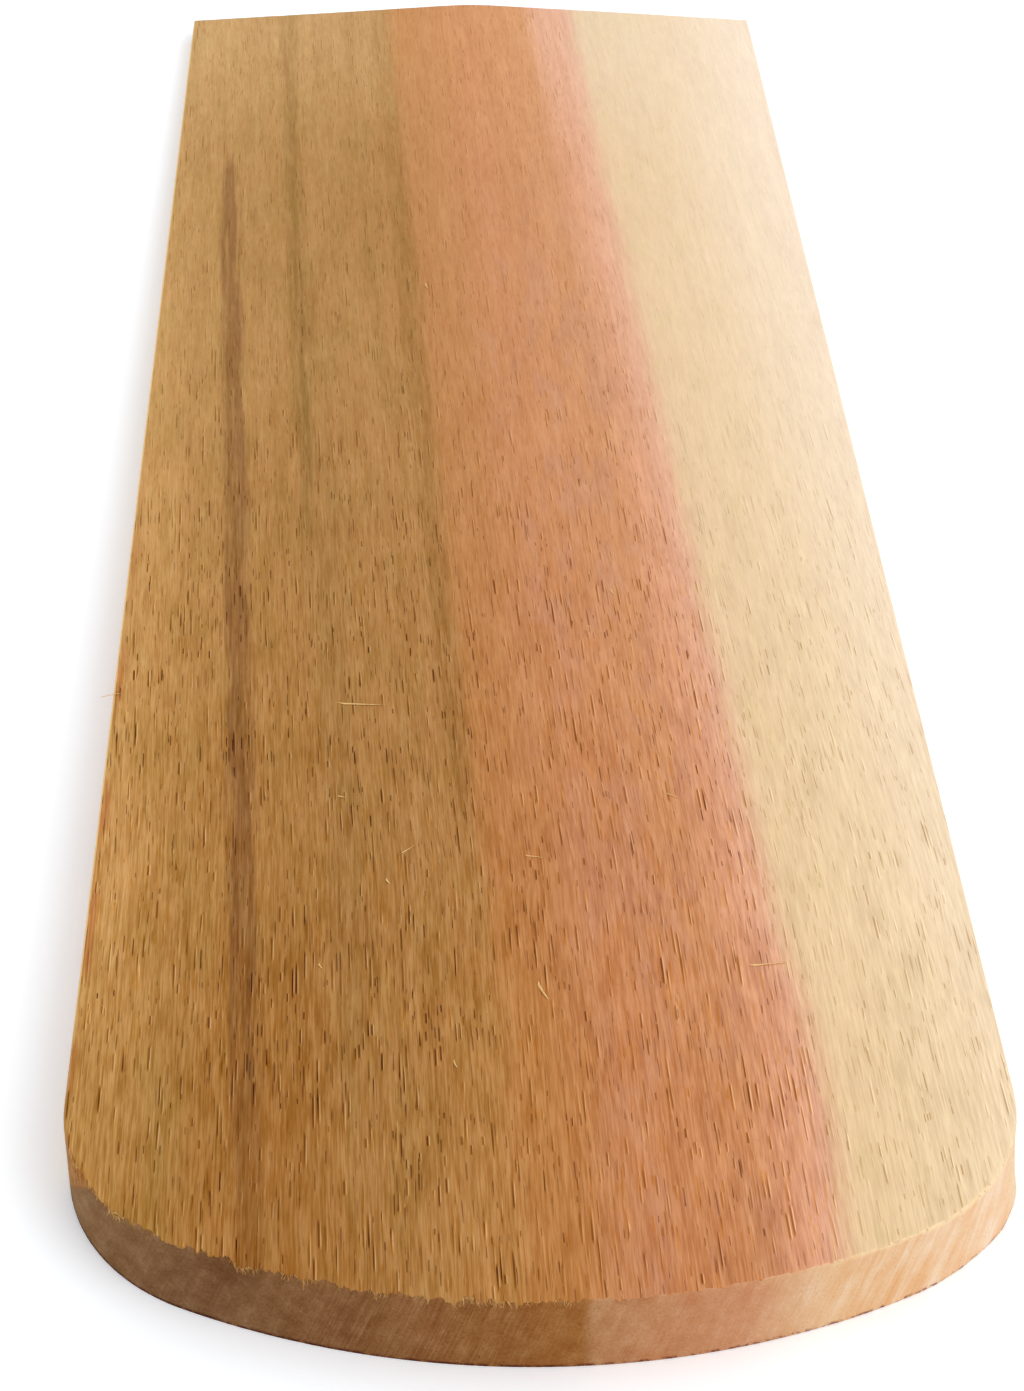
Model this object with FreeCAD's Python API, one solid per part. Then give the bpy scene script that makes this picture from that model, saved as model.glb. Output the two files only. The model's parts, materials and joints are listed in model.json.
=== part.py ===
import FreeCAD, Part
import math
import os

# Wood shingle lying on its flat underside. All sizes are in millimetres.
# X runs across the width, Y from the rounded butt to the head, Z up.
# The origin is under the middle of the shingle, on the underside.

shingle_width = 100.0     # between the two parallel sides
side_reach = 309.0        # from the lowest point of the butt to the head's corners
head_rise = 7.0           # height of the head's shallow point above its corners
head_point_radius = 30.0  # softening of that point
butt_radius = 86.0        # broad curve of the butt
corner_radius = 22.5      # tighter curve between the butt and each side
butt_thickness = 9.5      # at the lowest point of the butt
head_thickness = 3.3      # at the head's corners
arris_radius = 0.3        # wear along the upper edges


def point(x, y):
    return FreeCAD.Vector(x, y, 0.0)


def mirrored(corner):
    return FreeCAD.Vector(-corner.x, corner.y, corner.z)


def on_circle(centre, radius, angle):
    # the angle is counted from straight down, towards +X
    return point(centre.x + radius * math.sin(angle), centre.y - radius * math.cos(angle))


def arc(first, middle, last):
    return Part.Arc(first, middle, last).toShape()


def line(first, last):
    return Part.LineSegment(first, last).toShape()


def butt_edges():
    # the broad curve touches each corner curve, and each corner curve touches its side
    corner_x = shingle_width / 2 - corner_radius
    corner_y = butt_radius - math.sqrt((butt_radius - corner_radius) ** 2 - corner_x ** 2)
    meet = math.atan2(corner_x, butt_radius - corner_y)
    corner_centre = point(corner_x, corner_y)
    lowest = point(0.0, 0.0)
    broad_end = on_circle(point(0.0, butt_radius), butt_radius, meet)
    corner_middle = on_circle(corner_centre, corner_radius, (meet + math.pi / 2) / 2)
    side_start = point(shingle_width / 2, corner_y)
    left_corner = arc(mirrored(side_start), mirrored(corner_middle), mirrored(broad_end))
    broad = arc(mirrored(broad_end), lowest, broad_end)
    right_corner = arc(broad_end, corner_middle, side_start)
    return [left_corner, broad, right_corner], side_start


def head_edges():
    # each flank leaves its corner and touches the curve that softens the point
    corner = point(shingle_width / 2, side_reach)
    peak = point(0.0, side_reach + head_rise)
    centre = point(0.0, peak.y - head_point_radius)
    away = corner - centre
    lean = math.atan2(away.x, away.y)
    touch_angle = lean - math.acos(head_point_radius / away.Length)
    touch_x = head_point_radius * math.sin(touch_angle)
    touch_y = centre.y + head_point_radius * math.cos(touch_angle)
    touch = point(touch_x, touch_y)
    right_flank = line(corner, touch)
    crown = arc(touch, peak, mirrored(touch))
    left_flank = line(mirrored(touch), mirrored(corner))
    return [right_flank, crown, left_flank], corner


def plan_face():
    butt, side_start = butt_edges()
    head, head_corner = head_edges()
    right_side = line(side_start, head_corner)
    left_side = line(mirrored(head_corner), mirrored(side_start))
    return Part.Face(Part.Wire(butt + [right_side] + head + [left_side]))


def height_at(along):
    # the upper face falls evenly from the butt to the head
    return butt_thickness + (head_thickness - butt_thickness) * along / side_reach


def taper_wedge():
    # side view of the taper, wider and longer than the plan
    spare = shingle_width
    near = -spare
    far = side_reach + head_rise + spare / 4
    corners = [(near, -spare), (far, -spare), (far, height_at(far)), (near, height_at(near))]
    outline = [FreeCAD.Vector(-spare, along, height) for along, height in corners]
    side = Part.Face(Part.makePolygon(outline + outline[:1]))
    return side.extrude(FreeCAD.Vector(2 * spare, 0.0, 0.0))


def upper_edges(body):
    # the rim of the upper face, the only face that looks up
    for face in body.Faces:
        if face.normalAt(0.0, 0.0).z > 0.9:
            return face.Edges
    return []


def shingle():
    blank = plan_face().extrude(FreeCAD.Vector(0.0, 0.0, 2 * butt_thickness))
    body = blank.common(taper_wedge()).Solids[0]
    worn = body.makeFillet(arris_radius, upper_edges(body))
    worn.translate(FreeCAD.Vector(0.0, -(side_reach + head_rise) / 2, 0.0))
    return worn.Solids[0]


os.makedirs("parts", exist_ok=True)
shingle().exportStep("parts/shingle.step")
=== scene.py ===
import bpy
import json
import math
from mathutils import Matrix, Vector, noise

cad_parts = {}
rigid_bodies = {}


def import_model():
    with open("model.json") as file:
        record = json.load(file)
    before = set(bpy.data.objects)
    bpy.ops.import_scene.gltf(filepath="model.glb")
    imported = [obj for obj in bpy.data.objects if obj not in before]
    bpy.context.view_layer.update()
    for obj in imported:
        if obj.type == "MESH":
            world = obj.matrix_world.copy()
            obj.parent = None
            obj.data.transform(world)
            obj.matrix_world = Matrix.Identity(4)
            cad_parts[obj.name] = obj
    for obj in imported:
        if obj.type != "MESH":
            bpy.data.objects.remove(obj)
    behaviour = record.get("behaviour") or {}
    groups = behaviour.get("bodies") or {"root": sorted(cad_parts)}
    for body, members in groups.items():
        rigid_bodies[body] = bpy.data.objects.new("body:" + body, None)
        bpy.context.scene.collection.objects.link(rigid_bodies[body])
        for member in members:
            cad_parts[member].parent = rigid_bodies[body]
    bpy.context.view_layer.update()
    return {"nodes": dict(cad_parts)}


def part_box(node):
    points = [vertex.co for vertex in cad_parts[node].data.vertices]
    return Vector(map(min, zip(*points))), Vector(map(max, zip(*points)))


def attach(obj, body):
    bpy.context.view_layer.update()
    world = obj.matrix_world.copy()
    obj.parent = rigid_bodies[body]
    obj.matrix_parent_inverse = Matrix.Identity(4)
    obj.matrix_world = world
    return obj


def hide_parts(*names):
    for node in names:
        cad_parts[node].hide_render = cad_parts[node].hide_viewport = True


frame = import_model()

mm = 0.001
print("frame loaded:", sorted(frame["nodes"]))

# sizes in millimetres, on top of the box that the frame gives
shingle = {
    "headRise": 7.0,           # point of the head above its corners
    "headPointRadius": 30.0,
    "buttRadius": 86.0,
    "cornerRadius": 22.5,
    "buttThickness": 9.5,
    "headThickness": 3.3,
    "sideArris": 0.25,
    "endArris": 0.08,
    "grainSkew": 0.041,        # the grain drifts this much sideways for each step along
}


def boxInMillimetres(node):
    low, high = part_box(node)
    return [v / mm for v in low], [v / mm for v in high]


boxLow, boxHigh = boxInMillimetres("shingle")
halfWidth = (boxHigh[0] - boxLow[0]) / 2
halfLength = (boxHigh[1] - boxLow[1]) / 2


def smooth(low, high, value):
    t = min(1.0, max(0.0, (value - low) / (high - low)))
    return t * t * (3 - 2 * t)


def tone(red, green, blue):
    # a screen colour as the linear values that nodes take
    parts = [c / 255 for c in (red, green, blue)]
    return tuple(c / 12.92 if c <= 0.04045 else ((c + 0.055) / 1.055) ** 2.4 for c in parts) + (1.0,)


def addObject(name, data):
    obj = bpy.data.objects.new(name, data)
    bpy.context.scene.collection.objects.link(obj)
    return obj


# outline of the plan, in millimetres

cornerX = halfWidth - shingle["cornerRadius"]
cornerDrop = math.sqrt((shingle["buttRadius"] - shingle["cornerRadius"]) ** 2 - cornerX ** 2)
cornerY = shingle["buttRadius"] - cornerDrop
meetX = cornerX * shingle["buttRadius"] / (shingle["buttRadius"] - shingle["cornerRadius"])


def buttRim(x):
    side = min(abs(x), halfWidth)
    if side <= meetX:
        rise = shingle["buttRadius"] - math.sqrt(shingle["buttRadius"] ** 2 - side ** 2)
    else:
        reach = min(side - cornerX, shingle["cornerRadius"])
        rise = cornerY - math.sqrt(shingle["cornerRadius"] ** 2 - reach ** 2)
    return -halfLength + rise


def headRim(x):
    # straight flanks and a soft point
    softness = shingle["headPointRadius"] * shingle["headRise"] / halfWidth
    slope = shingle["headRise"] / (halfWidth - softness / 2)
    side = max(abs(x), (x * x / softness + softness) / 2 if abs(x) < softness else 0.0)
    return halfLength - slope * (side - softness / 2)


def upperFace(y):
    along = (y + halfLength) / (2 * halfLength - shingle["headRise"])
    return shingle["buttThickness"] + (shingle["headThickness"] - shingle["buttThickness"]) * along


# spacing of the mesh, closer at the sawn rims and round the corners
spacing = {
    "across": 0.25, "along": 3.4,
    "evenUntil": 70,           # degrees round the corner, from where columns follow the angle
    "cornerAngles": (74, 78, 82, 86, 90),
    "nearButt": [0, 0.15, 0.35, 0.65, 1.1, 1.8, 2.8, 4.2, 6.0],
    "nearHead": [6.0, 4.0, 2.4, 1.2, 0.5, 0.2, 0.0],
    "wallLevels": (0.04, 0.15, 0.3, 0.45, 0.6, 0.75, 0.88),
    "arrisAngles": (0, 30, 60),
    "arrisMap": [0.95, 0.965, 0.985, 1.0],    # the wall has the lower part of its map
    "creaseAngle": 50,
}


def columnPlaces():
    def atAngle(angle):
        return cornerX + shingle["cornerRadius"] * math.sin(math.radians(angle))

    lastEven = atAngle(spacing["evenUntil"])
    count = round(lastEven / spacing["across"])
    right = [lastEven * k / count for k in range(count + 1)]
    right += [atAngle(angle) for angle in spacing["cornerAngles"]]
    return [-x for x in reversed(right[1:])] + right


def rowShares():
    nearButt, nearHead = spacing["nearButt"], spacing["nearHead"]
    whole = 2 * halfLength
    free = whole - nearButt[-1] - nearHead[0]
    count = round(free / spacing["along"])
    middle = [nearButt[-1] + free / count * k for k in range(1, count)]
    return [d / whole for d in nearButt + middle] + [1 - d / whole for d in nearHead]


# waves in the faces: height, width, length and a place in the noise
relief = {
    "wave": (0.07, 26, 60, 1.7),
    "ridge": (0.030, 1.7, 42, 5.3),
    "fibre": (0.016, 0.8, 20, 9.1),
    "under": (0.05, 1.9, 30, 21.0),
}


def waves(kind, x, y):
    height, wide, long, layer = relief[kind]
    return height * noise.noise(Vector((x / wide, y / long, layer)))


def acrossGrain(x, y):
    return x + shingle["grainSkew"] * y


def upperRelief(x, y):
    across = acrossGrain(x, y)
    return waves("wave", x, y) + waves("ridge", across, y) + waves("fibre", across, y)


def underRelief(x, y):
    return relief["under"][0] + waves("under", acrossGrain(x, y), y)


# nicks and hanging fibres along the upper rim of the butt
torn = {
    "waves": ((0.5, 0.5, 3.1), (0.6, 1.15, 8.4), (0.6, 2.6, 1.2)),    # out, pitch, place in the noise
    "back": 0.05, "deepest": -0.55,
    "clumps": (-43.5, -31.0, -24.6, -17.5, -9.7, -5.5), "clumpOut": 0.4, "clumpWidth": 0.6,
    "calmer": (0, 14), "calmShare": 0.8, "corner": (49.0, 44.0),      # less on the right and at the corners
    "reach": 2.0,              # rows this near the butt follow the rim
    "drop": 0.03,
}


def clumpsAt(x, width):
    return sum(math.exp(-((x - c) / width) ** 2) for c in torn["clumps"])


def tornRim(x):
    # how far the upper rim stands out over the butt, or is chipped back, most in the dark heartwood
    strength = (1.0 - torn["calmShare"] * smooth(*torn["calmer"], x)) * smooth(*torn["corner"], abs(x))
    wave = sum(out * noise.noise(Vector((x * pitch, layer, 0.0))) for out, pitch, layer in torn["waves"])
    clump = torn["clumpOut"] * clumpsAt(x, torn["clumpWidth"])
    return strength * (max(torn["deepest"], wave - torn["back"]) + clump)


# the cut is wavy, leans out at the foot of the right corner and leaves a small splinter there
wall = {
    "waves": (0.05, 2.2, 3.0),    # height, width, rise
    "foot": 0.5,
    "bulges": [
        {"angle": -24.0, "spread": 16.0, "out": 0.95, "height": 9.3},
        {"angle": -17.0, "spread": 3.0, "out": 0.4, "height": 2.6},
    ],
}


def wallWear(x, y, z):
    height, wide, rise = wall["waves"]
    wear = height * noise.noise(Vector((x / wide, y / wide, z / rise)))
    if x > cornerX and y < cornerY - halfLength:
        angle = math.degrees(math.atan2(y - (cornerY - halfLength), x - cornerX))
        for bulge in wall["bulges"]:
            near = math.exp(-((angle - bulge["angle"]) / bulge["spread"]) ** 2)
            wear += bulge["out"] * near * smooth(bulge["height"], wall["foot"], z)
    return wear


# where each side of the piece lies on its flat map: across and up, as shares
chartPlaces = {
    "upper": (0.004, 0.600, 0.004, 0.996),
    "under": (0.612, 0.790, 0.004, 0.996),
    "left": (0.802, 0.860, 0.004, 0.996),
    "right": (0.872, 0.930, 0.004, 0.996),
    "butt": (0.942, 0.996, 0.004, 0.540),
    "head": (0.942, 0.996, 0.560, 0.996),
}


def onMap(kind, across, up):
    left, right, low, high = chartPlaces[kind]
    return left + (right - left) * across, low + (high - low) * up


def runAlong(points):
    # share of the way at each point of a line
    way = [0.0]
    for a, b in zip(points, points[1:]):
        way.append(way[-1] + math.dist(a, b))
    return [w / way[-1] for w in way]


def buildShingle():
    columns = columnPlaces()
    shares = rowShares()
    nx, ny = len(columns), len(shares)
    verts, faces, kinds, flat = [], [], [], []

    inX = 1 - shingle["sideArris"] / halfWidth
    inY = 1 - shingle["endArris"] / halfLength
    plan = [[(x, buttRim(x) + (headRim(x) - buttRim(x)) * t) for t in shares] for x in columns]

    # upper face, pulled in by the worn arris
    for i in range(nx):
        for j in range(ny):
            x, y = plan[i][j][0] * inX, plan[i][j][1] * inY
            z = upperFace(y) + upperRelief(x, y)
            # the torn rim takes the nearest rows along
            inside = shares[j] * 2 * halfLength
            y -= tornRim(x) * max(0.0, 1 - inside / torn["reach"])
            if j == 0:
                z -= torn["drop"]
            verts.append((x, y, z))
    # underside, never below the floor
    for i in range(nx):
        for j in range(ny):
            x, y = plan[i][j]
            edge = i in (0, nx - 1) or j in (0, ny - 1)
            if j == 0 and x > cornerX:
                out = Vector((x - cornerX, y - (cornerY - halfLength))).normalized()
                out *= max(0.0, wallWear(x, y, 0.0))
                x, y = x + out.x, y + out.y
            verts.append((x, y, 0.0 if edge else max(0.0, underRelief(x, y))))

    def top(i, j):
        return i * ny + j

    def under(i, j):
        return nx * ny + i * ny + j

    for i in range(nx - 1):
        for j in range(ny - 1):
            ring = [(i, j), (i + 1, j), (i + 1, j + 1), (i, j + 1)]
            back = [ring[k] for k in (0, 3, 2, 1)]
            for kind, place, order in (("upper", top, ring), ("under", under, back)):
                faces.append([place(*spot) for spot in order])
                kinds.append(kind)
                spots = [plan[a][b] for a, b in order]
                flat += [onMap(kind, x / halfWidth / 2 + 0.5, y / halfLength / 2 + 0.5) for x, y in spots]

    # the wall, ring by ring from the floor to the upper arris
    loop = [(i, 0) for i in range(nx - 1)] + [(nx - 1, j) for j in range(ny - 1)]
    loop += [(i, ny - 1) for i in range(nx - 1, 0, -1)] + [(0, j) for j in range(ny - 1, 0, -1)]
    rings = [[under(i, j) for i, j in loop]]
    levels = [("wall", share) for share in spacing["wallLevels"]]
    levels += [("arris", angle) for angle in spacing["arrisAngles"]]
    for kind, value in levels:
        ring = []
        for k, (i, j) in enumerate(loop):
            x, y = plan[i][j]
            before, after = loop[k - 1], loop[(k + 1) % len(loop)]
            run = Vector(plan[after[0]][after[1]]) - Vector(plan[before[0]][before[1]])
            out = Vector((run.y, -run.x)).normalized()
            rim = Vector(verts[top(i, j)])
            wear = math.hypot(x - x * inX, y - y * inY)
            foot = rim.z - wear
            lip = tornRim(x) if j == 0 else 0.0
            if kind == "wall":
                z = foot * value
                push = wallWear(x, y, z)
                spot = (x + out.x * push, y + out.y * push, z)
            else:
                turn = math.radians(value)
                inward = 1 - math.cos(turn)
                hang = math.sin(turn) ** 2 * lip
                spot = (x + (x * inX - x) * inward, y + (y * inY - y) * inward - hang,
                        foot + wear * math.sin(turn))
            ring.append(len(verts))
            verts.append(spot)
        rings.append(ring)
    rings.append([top(i, j) for i, j in loop])
    arrisMap = spacing["arrisMap"]
    climb = [0.0] + [arrisMap[0] * share for share in spacing["wallLevels"]] + arrisMap
    ways = {j: runAlong([plan[i][j] for i in range(nx)]) for j in (0, ny - 1)}
    for level, (lower, upper) in enumerate(zip(rings, rings[1:])):
        for k in range(len(loop)):
            n = (k + 1) % len(loop)
            faces.append((lower[k], lower[n], upper[n], upper[k]))
            j = loop[k][1]
            if j == loop[n][1]:
                kind = "butt" if j == 0 else "head"
                here, there = ways[j][loop[k][0]], ways[j][loop[n][0]]
            else:
                kind = "left" if loop[k][0] == 0 else "right"
                here, there = shares[j], shares[loop[n][1]]
            kinds.append(kind)
            flat += [onMap(kind, climb[up], at) for up, at in
                     ((level, here), (level, there), (level + 1, there), (level + 1, here))]

    mesh = bpy.data.meshes.new("shingle_body")
    mesh.from_pydata([tuple(c * mm for c in v) for v in verts], [], faces)
    mesh.polygons.foreach_set("material_index", [1 if k in ("butt", "head") else 0 for k in kinds])
    # fibres that hang over the butt show face grain, chips show end grain
    for strip in (1, 2):
        first = len(faces) - strip * len(loop)
        for i in range(nx - 1):
            if tornRim(columns[i]) + tornRim(columns[i + 1]) > 0:
                mesh.polygons[first + i].material_index = 0
    mesh.polygons.foreach_set("use_smooth", [True] * len(faces))
    mesh.set_sharp_from_angle(angle=math.radians(spacing["creaseAngle"]))
    chart = mesh.uv_layers.new(name="OFBake")
    chart.data.foreach_set("uv", [c for spot in flat for c in spot])
    mesh.update()
    body = addObject("shingle_body", mesh)
    print("shingle body:", len(verts), "points,", len(faces), "faces")
    return body


# node helpers

def addNode(tree, kind, feeds=None, **settings):
    node = tree.nodes.new(kind)
    for name, value in settings.items():
        setattr(node, name, value)
    for key, value in (feeds or {}).items():
        if isinstance(value, bpy.types.NodeSocket):
            tree.links.new(value, node.inputs[key])
        else:
            node.inputs[key].default_value = value
    return node


def sums(tree, operation, a, b=0.0, c=0.0):
    return addNode(tree, "ShaderNodeMath", {0: a, 1: b, 2: c}, operation=operation).outputs[0]


def times(tree, a, b):
    return sums(tree, "MULTIPLY", a, b)


def timesPlus(tree, a, b, c):
    return sums(tree, "MULTIPLY_ADD", a, b, c)


def centred(tree, value):
    return sums(tree, "SUBTRACT", value, 0.5)


def vectors(tree, operation, a, b):
    return addNode(tree, "ShaderNodeVectorMath", {0: a, 1: b}, operation=operation).outputs[0]


def split(tree, vector):
    return addNode(tree, "ShaderNodeSeparateXYZ", {0: vector}).outputs


def joined(tree, x, y, z):
    return addNode(tree, "ShaderNodeCombineXYZ", {0: x, 1: y, 2: z}).outputs[0]


def between(tree, value, low, high, toLow=0.0, toHigh=1.0):
    feeds = {"Value": value, "From Min": low, "From Max": high, "To Min": toLow, "To Max": toHigh}
    return addNode(tree, "ShaderNodeMapRange", feeds, interpolation_type="SMOOTHSTEP").outputs[0]


def mixed(tree, factor, a, b, blend="MIX"):
    node = addNode(tree, "ShaderNodeMix", {0: factor, 6: a, 7: b}, data_type="RGBA", blend_type=blend)
    return node.outputs[2]


def scaled(tree, vector, x, y, z, shift=(0, 0, 0)):
    feeds = {0: vector, 1: (x, y, z), 2: shift}
    return addNode(tree, "ShaderNodeVectorMath", feeds, operation="MULTIPLY_ADD").outputs[0]


def noiseOf(tree, vector, detail, roughness):
    feeds = {"Vector": vector, "Scale": 1.0, "Detail": detail, "Roughness": roughness}
    return addNode(tree, "ShaderNodeTexNoise", feeds, noise_dimensions="3D").outputs[0]


def cloudy(tree, grain, across, along, shift, detail, roughness):
    # waves for each millimetre across the grain and along it
    return noiseOf(tree, scaled(tree, grain, across, along, across, shift), detail, roughness)


# sockets that hold something else than a number
socketKinds = {
    "Grain": "Vector", "Color": "Color", "Seed": "Int", "Geometry": "Geometry", "Material": "Material",
}


def newTree(kind, name, inputs, outputs):
    tree = bpy.data.node_groups.new(name, kind)
    for side, labels in (("INPUT", inputs), ("OUTPUT", outputs)):
        for label in labels:
            holds = "NodeSocket" + socketKinds.get(label, "Float")
            tree.interface.new_socket(label, in_out=side, socket_type=holds)
    return tree, addNode(tree, "NodeGroupInput").outputs, addNode(tree, "NodeGroupOutput").inputs


def newGroup(name, inputs, outputs):
    return newTree("ShaderNodeTree", name, inputs, outputs)


def handOut(tree, out, **values):
    for label, value in values.items():
        tree.links.new(value, out[label])


def useGroup(tree, group, **feeds):
    return addNode(tree, "ShaderNodeGroup", feeds, node_tree=group).outputs


# across the grain, along it and up, in millimetres, with a slow drift and a quick wobble
grainSettings = {
    "skew": shingle["grainSkew"], "drift": 0.4, "wobble": 0.12,
    "slow": (1 / 40, 1 / 110, (0, 0, 0), 1.0, 0.5),
    "quick": (1 / 5, 1 / 14, (3, 8, 1), 1.0, 0.5),
}


def grainGroup():
    tree, _, out = newGroup("grainSpace", [], ["Grain"])
    place = addNode(tree, "ShaderNodeTexCoord").outputs["Object"]
    inMm = scaled(tree, place, 1 / mm, 1 / mm, 1 / mm)
    parts = split(tree, inMm)
    slow = cloudy(tree, inMm, *grainSettings["slow"])
    quick = cloudy(tree, inMm, *grainSettings["quick"])
    across = timesPlus(tree, parts["Y"], grainSettings["skew"], parts["X"])
    across = timesPlus(tree, centred(tree, slow), grainSettings["drift"] * 2, across)
    across = timesPlus(tree, centred(tree, quick), grainSettings["wobble"] * 2, across)
    tree.links.new(joined(tree, across, parts["Y"], parts["Z"]), out["Grain"])
    return tree


# noise along the grain: waves across and along, shift, detail, roughness
fibreLines = {
    "Fine": (3.8, 1 / 8, (0, 0, 0), 2.0, 0.7),
    "Coarse": (0.9, 1 / 40, (5, 0, 2), 2.0, 0.6),
    "Patch": (1 / 3.5, 1 / 14, (1, 4, 7), 2.0, 0.6),
    "Mottle": (1.7, 0.28, (3, 3, 8), 2.0, 0.75),
    "Cluster": (1 / 1.5, 1 / 8, (9, 2, 3), 2.0, 0.65),
    "Spread": (1 / 6, 1 / 24, (7, 5, 1), 2.0, 0.6),
    "fineShown": (0.32, 0.68), "clusterShown": (0.38, 0.6), "spreadShown": (0.34, 0.56),
}


def fibreGroup():
    names = ["Fine", "Coarse", "Patch", "Mottle", "Cluster"]
    tree, given, out = newGroup("fibreLines", ["Grain"], names)
    lines = {name: cloudy(tree, given["Grain"], *fibreLines[name]) for name in names + ["Spread"]}
    lines["Fine"] = between(tree, lines["Fine"], *fibreLines["fineShown"])
    for name in names[:-1]:
        tree.links.new(centred(tree, lines[name]), out[name])
    cluster = between(tree, lines["Cluster"], *fibreLines["clusterShown"])
    cluster = times(tree, cluster, between(tree, lines["Spread"], *fibreLines["spreadShown"]))
    tree.links.new(cluster, out["Cluster"])
    return tree


# one cell holds one vessel, cut open as a dash on the faces and a dot on the ends
vessel = {
    "width": (0.18, 0.32), "length": (0.12, 0.5),         # shares of the cell
    "core": (1.0, 0.5), "ends": (1.0, 0.6), "strength": (0.05, 1.0),
    "stainReach": (2.4, 0.8), "stainSide": (1.1, 0.6),    # in widths from its middle
    # the pale lip beside each vessel is a painted highlight
    "highlightFrom": (0.7, 1.3), "highlightTo": (2.3, 1.5), "highlightLevel": (1.1, 0.6),
}


def vesselGroup():
    inputs = ["Grain", "Across", "Along", "Shift"]
    tree, given, out = newGroup("vesselDashes", inputs, ["Dash", "Lip", "Stain"])
    cell = joined(tree, given["Across"], given["Along"], given["Across"])
    place = vectors(tree, "ADD", vectors(tree, "DIVIDE", given["Grain"], cell), given["Shift"])
    cells = addNode(tree, "ShaderNodeTexVoronoi", {"Vector": place, "Scale": 1.0}).outputs
    parts = split(tree, vectors(tree, "SUBTRACT", place, cells["Position"]))
    chance = addNode(tree, "ShaderNodeSeparateColor", {0: cells["Color"]}).outputs
    radius = sums(tree, "SQRT", sums(tree, "ADD", sums(tree, "POWER", parts["X"], 2.0),
                                     sums(tree, "POWER", parts["Z"], 2.0)))
    width = between(tree, chance[1], 0.0, 1.0, *vessel["width"])
    length = between(tree, chance[2], 0.0, 1.0, *vessel["length"])
    off = sums(tree, "DIVIDE", radius, width)
    ends = between(tree, sums(tree, "DIVIDE", sums(tree, "ABSOLUTE", parts["Y"]), length), *vessel["ends"])
    strong = times(tree, ends, between(tree, chance[0], *vessel["strength"]))
    dash = times(tree, between(tree, off, *vessel["core"]), strong)
    # the wood on its left is stained, and a paler lip, a painted highlight, stands along its right
    side = sums(tree, "DIVIDE", parts["X"], width)
    stain = times(tree, between(tree, off, *vessel["stainReach"]), between(tree, side, *vessel["stainSide"]))
    up = sums(tree, "DIVIDE", sums(tree, "ABSOLUTE", parts["Z"]), width)
    lip = times(tree, between(tree, side, *vessel["highlightFrom"]), between(tree, side, *vessel["highlightTo"]))
    lip = times(tree, lip, between(tree, up, *vessel["highlightLevel"]))
    handOut(tree, out, Dash=dash, Stain=times(tree, stain, strong), Lip=times(tree, lip, strong))
    return tree


veinShape = {
    "frayed": 2.0, "startWidth": 0.4, "soft": (1.4, 0.45), "fadeIn": (0.0, 0.5),
    "wornRows": (-92.0, -150.0, 1.0, 0.5),    # fainter at the butt
    "broken": (0.25, -0.1, 0.35, 1.0),
}


def veinGroup():
    # a stripe along the grain, from one place on the length to another
    inputs = ["Grain", "Frayed", "Centre", "Lean", "Half", "Start", "Full"]
    tree, given, out = newGroup("darkVein", inputs, ["Mask"])
    parts = split(tree, given["Grain"])
    middle = timesPlus(tree, parts["Y"], given["Lean"], given["Centre"])
    off = sums(tree, "ABSOLUTE", sums(tree, "SUBTRACT", parts["X"], middle))
    off = timesPlus(tree, given["Frayed"], veinShape["frayed"], off)
    # narrow where it starts
    span = between(tree, parts["Y"], given["Start"], given["Full"])
    narrow = veinShape["startWidth"]
    half = times(tree, given["Half"], timesPlus(tree, span, 1 - narrow, narrow))
    outer, inner = veinShape["soft"]
    stripe = between(tree, off, times(tree, half, outer), times(tree, half, inner))
    mask = times(tree, stripe, between(tree, span, *veinShape["fadeIn"]))
    mask = times(tree, mask, between(tree, parts["Y"], *veinShape["wornRows"]))
    mask = times(tree, mask, between(tree, given["Frayed"], *veinShape["broken"]))
    tree.links.new(mask, out["Mask"])
    return tree


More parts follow.
